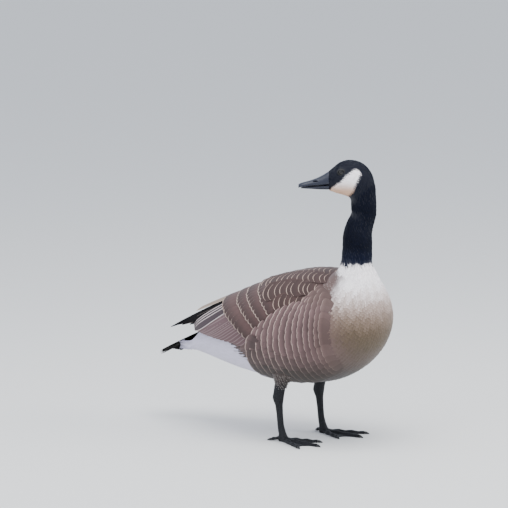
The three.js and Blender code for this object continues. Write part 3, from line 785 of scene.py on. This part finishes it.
# Thigh feathers: short, soft and grey-brown, with painted shade that darkens them towards the bare
# leg under the body. They are rooted in rings round the thigh and hang down to the top of the leg.
roots, lie, out = [], [], []
chance = np.random.default_rng(41)
upwards = THIGH[::-1]
for side in (1, -1):
    for up in np.arange(107.5, 134, 3.2):
        forward, long, wide = (np.interp(up, upwards[:, 0], upwards[:, k]) for k in (1, 2, 3))
        count = int(2 * math.pi * (long + wide) / 2 / 4.2)
        a = np.radians((np.arange(count) + chance.uniform(0, 1)) * 360 / count)
        left = side * THIGH_SIDE + (wide - 1) * np.sin(a)
        roots.append(at(forward + (long - 1) * np.cos(a), left, up + chance.uniform(-1, 1, count)))
        away = np.stack([np.sin(a) / wide, -np.cos(a) / long, 0.012 + 0 * a], 1)
        out.append(away / np.linalg.norm(away, axis=1, keepdims=True))
        lie.append(np.tile([0, 0.25, -1.0], (count, 1)))
roots, lie, out = np.vstack(roots), np.vstack(lie), np.vstack(out)
size = np.tile([0.0068, 0.0105, 0.0105], (len(roots), 1))
# Painted shade: the feathers darken downwards, under the body
higher = fade(roots[:, 2], 0.106, 0.136)
tint = srgb(78, 67, 63) * higher + srgb(42, 38, 39) * (1 - higher)
piece = grow("thigh_feathers", roots, lie, out, size, tint, small_vane, soft, 2.5, 0.08, 41)
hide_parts("thigh_left", "thigh_right")


# Folded wings: long stiff feathers rooted in the bones of hand and forearm, laid shut in tiers on
# the bird's outline. Tertials and secondaries make the panel low on the side, and the primaries'
# black tips cross over the tail.
CLOAK_FROM, CLOAK_STEP = 120, 60
# Rows of the cloak that the shut wings form, from the shoulders back to their tips: height on the
# midline, height at its widest, and half its width
CLOAK = np.array([
    (314, 232, 84), (318, 218, 104), (308, 208, 113), (292, 203, 111), (271, 197, 99),
    (247, 190, 76), (221, 180, 46), (192, 168, 26), (164, 150, 12),
])


def on_cloak(forward, angle, lift, side):
    """A point over the folded wings; angle is 0 on the back's midline and 90 on the side."""
    row = np.clip((CLOAK_FROM - forward) / CLOAK_STEP, 0, len(CLOAK) - 1.001)
    top, middle, half = np.moveaxis(along_rows(CLOAK, row), -1, 0)
    a = np.radians(angle)
    return at(forward, side * (half + lift) * np.sin(a), middle + (top - middle + lift) * np.cos(a))


def long_feathers(name, points, faces, places, tones, cells, columns, rows, finish):
    """A mesh of long feathers, whose numbers in cells pick each its own strip of the map."""
    piece = mesh_object(name, points, faces)
    set_attribute(piece, "tint", tones, "FLOAT_COLOR")
    strip = np.stack([
        (cells % columns + 0.06 + 0.88 * places[:, 0]) / columns,
        (cells // columns + 0.05 + 0.9 * places[:, 1]) / rows,
    ], 1)
    used = np.empty(len(piece.data.loops), np.int32)
    piece.data.loops.foreach_get("vertex_index", used)
    for layer, values in (("vane", places), ("OFBake", strip)):
        corners = values[used].astype(np.float32).ravel()
        piece.data.uv_layers.new(name=layer).data.foreach_set("uv", corners)
    piece.data.materials.append(finish)
    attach(piece, "root")
    return piece


def quill_piece(name, quills, finish, along):
    """Long feathers on the cloak. Each quill has its root and tip as (forward, angle), its width, its
    lift at root and tip, its side and outline, and how far its vane leans and is cupped."""
    points, faces, places, tones, cells = [], [], [], [], []
    across = 6
    v = np.linspace(0, 1, along + 1)
    for number, q in enumerate(quills):
        forward = q["root"][0] + (q["tip"][0] - q["root"][0]) * v
        angle = q["root"][1] + (q["tip"][1] - q["root"][1]) * v
        lift = q["lift"][0] + (q["lift"][1] - q["lift"][0]) * v
        line = on_cloak(forward, angle, lift, q["side"])
        out = on_cloak(forward, angle, lift + 1, q["side"]) - line
        out /= np.linalg.norm(out, axis=1, keepdims=True)
        ahead = np.gradient(line, axis=0)
        ahead /= np.linalg.norm(ahead, axis=1, keepdims=True)
        sideways = np.cross(ahead, out) * q["side"]
        wide = (np.interp(v, *q["outline"]) * q["width"] / 1000)[:, None]
        grid = []
        for j in range(across + 1):
            u = j / across * 2 - 1
            pulled = -ahead * (u * u * wide) * 0.22 * (v[:, None] ** 6)
            raised = out * (q["lean"] * u * wide / 2 - q["cup"] * u * u * wide)
            grid.append(line + sideways * (u * wide / 2) + raised + pulled)
        size = (along + 1) * (across + 1)
        points.append(np.stack(grid, 1).reshape(-1, 3))
        faces += vane_faces(number * size, across, along)
        places += [(j / across, t) for t in v for j in range(across + 1)]
        tones += [q["tone"]] * size
        cells += [number] * size
    columns = math.ceil(math.sqrt(len(quills)) * 1.6)
    rows = math.ceil(len(quills) / columns)
    return long_feathers(
        name, np.vstack(points), faces, np.array(places), np.array(tones), np.array(cells),
        columns, rows, finish,
    )


# Outlines of a vane: places from root to tip, and the width at each
ROUNDED = ([0, 0.1, 0.35, 0.75, 0.9, 0.97, 1], [0.4, 0.75, 1, 1, 0.86, 0.6, 0.35])
BLUNT = ([0, 0.1, 0.35, 0.75, 0.93, 0.985, 1], [0.4, 0.75, 1, 1, 0.94, 0.78, 0.6])
LOOP = ([0, 0.15, 0.4, 0.84, 0.94, 0.98, 1], [0.5, 0.8, 1, 1, 0.97, 0.92, 0.84])
POINTED = ([0, 0.1, 0.3, 0.7, 0.9, 1], [0.4, 0.8, 1, 0.85, 0.45, 0.1])
chance = np.random.default_rng(51)


def tier(
    count, root, tip, width, lift, outline, tone,
    lean=0.08, cup=0.07, spread=0.06, loose=1.0, sink=0.0,
):
    """Feathers across each wing from the back outwards; root and tip are lines of (forward, angle).
    The outermost lies sink millimetres lower. Tones vary by spread, places by loose millimetres."""
    root, tip = np.array(root, float), np.array(tip, float)
    made = []
    for side in (1, -1):
        for i in range(count):
            t = i / (count - 1)
            root_at = along_rows(root, t * (len(root) - 1))
            tip_at = along_rows(tip, t * (len(tip) - 1))
            lower = sink * t * t
            made.append({
                "root": root_at + chance.normal(0, loose, 2) * (1, 0.3),
                "tip": tip_at + chance.normal(0, loose, 2) * (1, 0.25),
                "width": width[0] + (width[1] - width[0]) * t,
                "lift": (lift[0] - lower, lift[1] - lower + 0.12 * math.sin(9.7 * i)),
                "side": side, "outline": outline, "lean": lean, "cup": cup,
                "tone": srgb(*tone) * chance.uniform(1 - spread, 1 + spread),
            })
    return made


def wing_piece(name, quills, finish, along=16):
    piece = quill_piece(name, quills, finish, along)
    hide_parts("wing_left", "wing_right")


# Primaries: the long black pointed feathers of the hand. Shut, they lie one under the other with
# their tips over the tail; one on each wing shows its thin pale outer edge.
quill_black = plumage_finish(
    "primary_plumage", roughness=0.8, sheen=0.0, gloss=0.04, rim=0.7, rim_tone=srgb(150, 138, 130),
    side_from=0.86, side_along=0.05, tip_from=2.0, root_shade=0.9, barbs=0.05,
)
PER_WING, EDGED = 6, 3  # primaries on each wing, and the number of the one whose edge shows
primaries = tier(
    PER_WING, [(-60, 22), (-54, 36), (-50, 46)], [(-304, 60), (-268, 66), (-214, 83)], (19, 17),
    (-8, -6.6), POINTED, (9, 8, 12), lean=0.16, cup=0.03,
)
for number, quill in enumerate(primaries):
    quill["tone"] = [*quill["tone"], 1.0 if number % PER_WING == EDGED else 0.08]
wing_piece("primaries", primaries, quill_black)

# Secondaries: narrow grey-brown feathers rooted along the forearm, each with a faint pale edge. In
# the shut wing they lie in a fan that closes towards its lower rear corner.
panel = plumage_finish(
    "secondary_plumage", roughness=0.6, sheen=0.1, rim=0.32, rim_tone=srgb(176, 156, 152),
    side_from=0.78, side_along=0.02, tip_from=0.985, root_shade=0.9, shade_from=0.2, barbs=0.03,
)
secondaries = tier(
    17, [(-62, 44), (-42, 62), (-12, 84)], [(-203, 92), (-160, 100), (-66, 108)], (15, 15),
    (-9, -5.4), ROUNDED, (97, 73, 76), loose=0.5, spread=0.04, lean=0.22, cup=0.02,
)
wing_piece("secondaries", secondaries, panel)

# Tertials: the three innermost feathers of the forearm, long, dark and edged in near white. They
# lie over the secondaries.
tertial_finish = plumage_finish(
    "tertial_plumage", roughness=0.6, sheen=0.1, rim=0.95, rim_tone=srgb(226, 212, 208),
    side_from=0.8, side_along=0.02, tip_from=0.985, root_shade=0.9, shade_from=0.2, barbs=0.03,
)
tertials = tier(
    3, [(-76, 30), (-66, 42)], [(-211, 80), (-206, 91)], (17, 17), (-8, -3.6), ROUNDED,
    (54, 39, 44), loose=0.2, lean=0.22, cup=0.02,
)
wing_piece("tertials", tertials, tertial_finish)

# Back: long soft buff feathers between the wings. They are rooted above the shoulders' rear edge
# and meet along the midline over the rump.
back_finish = plumage_finish(
    "back_plumage", roughness=0.7, sheen=0.15, rim=0.8, rim_tone=srgb(206, 190, 172),
    side_from=0.8, side_along=0.1, tip_from=0.97, root_shade=0.8, barbs=0.05,
)
back_feathers = tier(
    5, [(-14, 5), (-20, 22)], [(-224, 4), (-232, 34)], (24, 16), (-5, -3.4), ROUNDED,
    (134, 115, 99), loose=0.6,
)
wing_piece("back_feathers", back_feathers, back_finish)

# Coverts: blunt brown feathers that cover the roots of the quills. They lie in four upright bands,
# the foremost on top, and each is dark before a thin pale tip.
covert_finish = plumage_finish(
    "covert_plumage", roughness=0.68, sheen=0.12, rim=0.85, rim_tone=srgb(196, 174, 160),
    side_from=0.93, side_along=0.8, tip_from=0.972, root_shade=1.9, shade_from=0.66, barbs=0.1,
)
coverts = []
for tip, lift, sink in (
    ([(-146, 30), (-126, 52), (-90, 74), (-48, 95)], (-6, -3.6), 0.4),
    ([(-106, 28), (-87, 48), (-58, 66), (-26, 83)], (-4.6, -2.2), 1.2),
    ([(-84, 24), (-68, 42), (-40, 60), (-10, 76)], (-3.4, -1.0), 2.0),
    ([(-62, 20), (-46, 36), (-18, 55), (14, 74)], (-2.2, 0), 2.4),
):
    root = [(forward + 66, max(8, angle - 18)) for forward, angle in tip]
    coverts += tier(
        13, root, tip, (21, 19), lift, BLUNT, (60, 43, 41), loose=0.5, lean=0.05, sink=sink
    )
wing_piece("wing_coverts", coverts, covert_finish, along=12)

# Scapulars: broad rounded feathers, dark brown inside a thin pale border. They are rooted over the
# shoulder blade and lie over the wing's upper edge, smaller towards the neck.
scapular_finish = plumage_finish(
    "scapular_plumage", roughness=0.68, sheen=0.12, rim=0.85, rim_tone=srgb(204, 178, 162),
    side_from=2.0, tip_from=0.968, root_shade=1.35, shade_from=0.5, barbs=0.08,
)
# Each lane's angle on the cloak, its rearmost tip and its end towards the neck
SCAPULAR_LANES = ((9, -74, 118), (27, -50, 114), (45, -18, 104), (62, 18, 90))
SCAPULAR_STEP = 12.2  # from tip to tip along a lane
scapulars = []
for side in (1, -1):
    for lane, rearmost, foremost in SCAPULAR_LANES:
        for forward in np.arange(rearmost, foremost, SCAPULAR_STEP):
            small = 1 - 0.0028 * max(0, forward - 10)
            slip = chance.normal(0, 1.3, 2)
            tip = (forward + slip[0], lane + 0.6 * slip[1])
            ahead = forward + 70
            scapulars.append({
                "root": (tip[0] + 54 * small, lane - 6), "tip": tip,
                "width": (46 if lane < 60 else 38) * small,
                "lift": (-1.4 + 0.012 * ahead, 0.8 + 0.022 * ahead - 0.03 * max(0, lane - 28)),
                "side": side, "outline": LOOP, "lean": 0.0, "cup": 0.035,
                "tone": srgb(60, 42, 39) * chance.uniform(0.88, 1.14),
            })
wing_piece("scapulars", scapulars, scapular_finish, along=12)

# Tail: sixteen stiff black feathers, rooted in the rump between its white coverts. They form a
# short fan with the middle pair on top.
TAIL_COUNT, TAIL_SPREAD, TAIL_WIDTH = 16, 8, 17
TAIL_ROOT, TAIL_TIP = (-222, 178), (-334, 126)  # forward and height
across, along = 4, 10
v = np.linspace(0, 1, along + 1)[:, None]
u = np.linspace(-1, 1, across + 1)
points, faces = [], []
for n in range(TAIL_COUNT):
    t = 2 * n / (TAIL_COUNT - 1) - 1
    turn = math.radians(t * TAIL_SPREAD)
    length = (TAIL_ROOT[0] - TAIL_TIP[0]) * (1 - 0.13 * t * t)
    wide = np.interp(v, *ROUNDED) * TAIL_WIDTH
    forward = TAIL_ROOT[0] - length * v * math.cos(turn) + 0.12 * u * u * wide * v**6
    left = 12 * t + length * v * math.sin(turn) + u * wide / 2
    up = TAIL_ROOT[1] + (TAIL_TIP[1] - TAIL_ROOT[1]) * v - 2 * t * t + 3 * (1 - abs(t)) + 0.3
    points.append(at(forward, left, up - 0.6 * u * u - 0.06 * t * u * wide).reshape(-1, 3))
    start = n * (along + 1) * (across + 1)
    faces += [(a, d, c, b) for a, b, c, d in vane_faces(start, across, along)]
size = (along + 1) * (across + 1)
places = np.array([((x + 1) / 2, y) for y in v[:, 0] for x in u] * TAIL_COUNT)
tones = np.array([[*srgb(9, 8, 9), 0.1]] * (size * TAIL_COUNT))
cells = np.repeat(np.arange(TAIL_COUNT), size)
piece = long_feathers(
    "tail_feathers", np.vstack(points), faces, places, tones, cells, 8, 2, quill_black
)
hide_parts("tail")


# Eyes: round, wet and nearly black. Each is set in the skull behind two lids of bare black skin,
# which form a low rim round it.
def add_bump(nodes, links, shader, source, strength, distance):
    """Raises the surface where source is high."""
    raised = nodes.new("ShaderNodeBump")
    raised.inputs["Strength"].default_value = strength
    raised.inputs["Distance"].default_value = distance
    links.new(source, raised.inputs["Height"])
    links.new(raised.outputs["Normal"], shader.inputs["Normal"])


def simple_finish(name, tone, roughness, coat=0.0, bump=0.0, bump_size=600.0):
    """One colour, with a fine grain where bump is more than 0."""
    finish = bpy.data.materials.new(name)
    finish.use_nodes = True
    nodes, links = finish.node_tree.nodes, finish.node_tree.links
    shader = nodes["Principled BSDF"]
    shader.inputs["Base Color"].default_value = (*tone, 1)
    shader.inputs["Roughness"].default_value = roughness
    shader.inputs["Coat Weight"].default_value = coat
    if bump:
        where = nodes.new("ShaderNodeTexCoord")
        grain = nodes.new("ShaderNodeTexNoise")
        grain.inputs["Scale"].default_value = bump_size
        links.new(where.outputs["Object"], grain.inputs["Vector"])
        add_bump(nodes, links, shader, grain.outputs["Fac"], bump, 0.0005)
    return finish


def ball(name, centre, radius, rings=24, sides=36):
    down = np.radians(np.linspace(0, 180, rings + 1)[1:-1])
    a = np.radians(np.arange(sides) * 360 / sides)
    down = down[:, None]
    grid = np.stack([np.sin(down) * np.cos(a), np.sin(down) * np.sin(a), np.cos(down) + 0 * a], -1)
    grid = grid * radius + centre
    points = np.vstack([grid.reshape(-1, 3), centre + (0, 0, radius), centre - (0, 0, radius)])
    return mesh_object(name, points, tube_faces(rings - 1, sides))


EYE_RADIUS, SIDES = 0.007, 48
# Rings of the lids from the opening round to the skin: distance from the centre line of the eye,
# and from the midline of the head
LID_RINGS = (
    (4.4, 18.6), (4.5, 19.3), (5.0, 19.5), (5.7, 19.1), (6.4, 18.2), (6.8, 17.0), (5.4, 16.0),
)
iris = simple_finish("eye_wet", tuple(srgb(7, 5, 5)), 0.12, coat=0.1)
lid_skin = simple_finish("lid_skin", tuple(srgb(6, 8, 13)), 0.7, bump=0.4)
for side, name in ((1, "left"), (-1, "right")):
    eye = ball(f"eyeball_{name}", on_head(EYE[0], side * EYE[1], EYE[2]), EYE_RADIUS)
    outward(eye)
    eye.data.materials.append(iris)
    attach(eye, "root")
    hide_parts(f"eye_{name}")
    # The rim follows the ball, a little longer than high, the upper lid heavier and lower
    a = np.radians(np.arange(SIDES) * 360 / SIDES)
    drop = 0.5 * np.maximum(np.sin(a), 0)
    grid = np.array([
        on_head(
            EYE[0] + reach * 1.14 * np.cos(a), side * (from_middle + 0 * a),
            EYE[2] + (reach - drop) * np.sin(a),
        )
        for reach, from_middle in LID_RINGS
    ])
    faces = []
    for i in range(len(grid)):
        for j in range(SIDES):
            k, n = (j + 1) % SIDES, (i + 1) % len(grid)
            faces.append((i * SIDES + j, i * SIDES + k, n * SIDES + k, n * SIDES + j))
    lid = mesh_object(f"lids_{name}", grid.reshape(-1, 3), faces)
    outward(lid)
    lid.data.materials.append(lid_skin)
    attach(lid, "root")
    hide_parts("head")

# Bill: two slate-black mandibles of satin horn over bone, with an open nostril on each side. They
# grow from the skull in front of the face, the upper over the lower.
# Rows from base to tip: forward, heights of the upper and lower side, and half the width
UPPER_BILL = np.array([
    (188, 503.5, 479.6, 12.6), (190.3, 502.5, 479.4, 12.4), (198, 497.6, 479, 12.1),
    (208, 492.4, 478.4, 11.2), (218, 488.4, 477.7, 10.3), (228, 485.4, 476.8, 9.6),
    (236, 483.3, 475.8, 9), (240.5, 481.7, 474.6, 7.4), (243.4, 479.4, 473.6, 4.6),
])
LOWER_BILL = np.array([
    (188, 478.9, 470.4, 10.8), (190.3, 478.9, 470.4, 10.6), (204, 478, 470.6, 9.6),
    (220, 476.9, 471.6, 8.3), (233, 475.4, 472.2, 7), (238.6, 474.3, 472.6, 4.4),
])
BILL_POWER = 2 / 2.3  # squares its section a little
horn = simple_finish("bill_horn", tuple(srgb(22, 27, 43)), 0.42, bump=0.2, bump_size=900)


def mandible(name, table, share_above):
    """One half of the bill, share_above of its height over its widest line."""
    t = np.linspace(0, len(table) - 1, 60)
    forward, top, bottom, half = np.moveaxis(along_rows(table, t), -1, 0)
    a = np.radians(np.arange(SIDES) * 360 / SIDES)
    c, s = np.cos(a), np.sin(a)
    rise = np.sign(c) * np.abs(c) ** BILL_POWER
    reach = np.sign(s) * np.abs(s) ** BILL_POWER
    tall = (top - bottom)[:, None]
    widest = bottom[:, None] + tall * (1 - share_above)
    height = widest + np.where(c > 0, share_above, 1 - share_above) * tall * rise
    grid = on_head(forward[:, None] + 0 * height, half[:, None] * reach, height)
    piece = mesh_object(name, *closed_tube(grid))
    outward(piece)
    piece.data.materials.append(horn)
    return piece


upper_bill = mandible("upper_mandible", UPPER_BILL, 0.8)
for side in (1, -1):
    centre = on_head(213, side * 9.2, 486.4)
    hole = ball("nostril", np.zeros(3), 1.0, 16, 24)
    hole.data.materials.append(horn)
    shape = points_of(hole) * (0.0036, 0.0052, 0.0016)
    ahead = (on_head(1, 0, 0) - on_head(0, 0, 0)) * 1000
    left = (on_head(0, 1, 0) - on_head(0, 0, 0)) * 1000
    up = np.array([0, 0, 1])
    placed = centre + shape[:, :1] * left + shape[:, 1:2] * ahead + shape[:, 2:] * up
    hole.data.vertices.foreach_set("co", placed.astype(np.float32).ravel())
    outward(hole)
    cut = upper_bill.modifiers.new("nostril", "BOOLEAN")
    cut.operation, cut.object, cut.solver = "DIFFERENCE", hole, "EXACT"
    plain(upper_bill)
    bpy.data.objects.remove(hole)
lower_bill = mandible("lower_mandible", LOWER_BILL, 0.2)
for piece, node in ((upper_bill, "bill_upper"), (lower_bill, "bill_lower")):
    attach(piece, "root")
    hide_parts(node)

# Legs, feet and claws: dark scaly skin over bone and sinew, with webs between the three front toes
# and a horn claw on each toe. Leg and foot are joined under one skin from their solids, and the
# claws grow from the toes' ends.
leg_scales = bpy.data.materials.new("leg_scales")
leg_scales.use_nodes = True
nodes, links = leg_scales.node_tree.nodes, leg_scales.node_tree.links
shader = nodes["Principled BSDF"]
shader.inputs["Roughness"].default_value = 0.6
shader.inputs["Specular IOR Level"].default_value = 0.2
where = nodes.new("ShaderNodeTexCoord")
scales = nodes.new("ShaderNodeTexVoronoi")
scales.feature = "DISTANCE_TO_EDGE"
scales.inputs["Scale"].default_value = 420
links.new(where.outputs["Object"], scales.inputs["Vector"])
edges = nodes.new("ShaderNodeValToRGB")
edges.color_ramp.elements[0].color = (*srgb(11, 11, 13), 1)
edges.color_ramp.elements[1].position = 0.22
edges.color_ramp.elements[1].color = (*srgb(36, 37, 41), 1)
links.new(scales.outputs["Distance"], edges.inputs[0])
links.new(edges.outputs[0], shader.inputs["Base Color"])
add_bump(nodes, links, shader, edges.outputs[0], 0.5, 0.0006)
claw_horn = simple_finish("claw_horn", tuple(srgb(22, 21, 22)), 0.35)


def solid_copy(name, solids):
    """One mesh from these solids, with their doubled corners merged."""
    shape = bmesh.new()
    for node in solids:
        shape.from_mesh(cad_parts[node].data)
    bmesh.ops.remove_doubles(shape, verts=shape.verts, dist=1e-6)
    mesh = bpy.data.meshes.new(name)
    shape.to_mesh(mesh)
    shape.free()
    mesh.materials.clear()
    piece = bpy.data.objects.new(name, mesh)
    bpy.context.scene.collection.objects.link(piece)
    return piece


for name in ("left", "right"):
    limb = solid_copy(f"leg_and_foot_{name}", [f"leg_{name}", f"foot_{name}"])
    thick = limb.modifiers.new("one_skin", "REMESH")
    thick.mode, thick.voxel_size = "VOXEL", 0.0011
    ease = limb.modifiers.new("ease", "SMOOTH")
    ease.iterations = 6
    plain(limb)
    limb.data.shade_smooth()
    limb.data.materials.append(leg_scales)
    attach(limb, "root")
    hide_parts(f"leg_{name}", f"foot_{name}")
    for toe in ("inner", "middle", "outer", "hind"):
        claw = solid_copy(f"claw_horn_{name}_{toe}", [f"claw_{name}_{toe}"])
        rounder = claw.modifiers.new("rounder", "SUBSURF")
        rounder.levels = rounder.render_levels = 2
        plain(claw)
        claw.data.shade_smooth()
        claw.data.materials.append(claw_horn)
        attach(claw, "root")
        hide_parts(f"claw_{name}_{toe}")

# The single vanes that the coats were grown from are not part of the bird
for spare in (small_vane, tiny_vane, broad_vane):
    bpy.data.objects.remove(spare)

# The stage: a wide sheet of pale paper under the bird, soft lights overhead and at both sides, and
# a camera with a long lens to its right front, about a metre and a half up.
floor_finish = simple_finish("floor_paper", (0.74, 0.74, 0.72), 0.9)
bpy.ops.mesh.primitive_plane_add(size=40, location=(0, 0, 0))
floor = bpy.context.object
floor.name = "floor"
floor.data.materials.append(floor_finish)

world = bpy.data.worlds.new("soft_room")
bpy.context.scene.world = world
world.use_nodes = True
world.node_tree.nodes["Background"].inputs["Color"].default_value = (0.82, 0.88, 1.0, 1)
world.node_tree.nodes["Background"].inputs["Strength"].default_value = 1.2


def softbox(name, place, aim, size, watts, tone=(1, 1, 1)):
    light = bpy.data.lights.new(name, "AREA")
    light.size, light.energy, light.color = size, watts, tone
    lamp = bpy.data.objects.new(name, light)
    lamp.location = place
    lamp.rotation_euler = (Vector(aim) - Vector(place)).to_track_quat("-Z", "Y").to_euler()
    bpy.context.scene.collection.objects.link(lamp)


softbox("overhead", (-0.6, -0.6, 3.0), (0, 0, 0.2), 2.4, 108)
softbox("from_the_right", (1.2, -2.6, 1.6), (0, 0, 0.3), 1.6, 42, (1, 0.97, 0.93))
softbox("from_the_left", (-2.8, 0.2, 1.5), (0, 0, 0.3), 1.8, 18, (0.92, 0.96, 1))

# The picture is PIXELS wide and high. The floor under the hips stands at HIPS_AT in it, across and
# down, and there a pixel is METRES_PER_PIXEL wide.
AZIMUTH, ELEVATION, DISTANCE = math.radians(-50), math.radians(10.5), 8.0
PIXELS, METRES_PER_PIXEL, HIPS_AT = 508, 0.00185, (300, 436)
level = math.cos(ELEVATION)
to_camera = Vector((math.sin(AZIMUTH) * level, -math.cos(AZIMUTH) * level, math.sin(ELEVATION)))
rightward = Vector((math.cos(AZIMUTH), math.sin(AZIMUTH), 0))
upward = to_camera.cross(rightward)
hips = Vector(at(0, 0, 0))
eye_point = hips + to_camera * DISTANCE
across_picture = rightward * (PIXELS / 2 - HIPS_AT[0]) * METRES_PER_PIXEL
up_picture = upward * (HIPS_AT[1] - PIXELS / 2) * METRES_PER_PIXEL
middle = hips + across_picture + up_picture
camera = bpy.data.cameras.new("camera")
camera.sensor_width = 36
camera.lens = camera.sensor_width * (middle - eye_point).length / (PIXELS * METRES_PER_PIXEL)
camera.clip_end = 60
shot = bpy.data.objects.new("camera", camera)
shot.location = eye_point
shot.rotation_euler = (middle - eye_point).to_track_quat("-Z", "Y").to_euler()
bpy.context.scene.collection.objects.link(shot)
bpy.context.scene.camera = shot

bpy.context.view_layer.update()
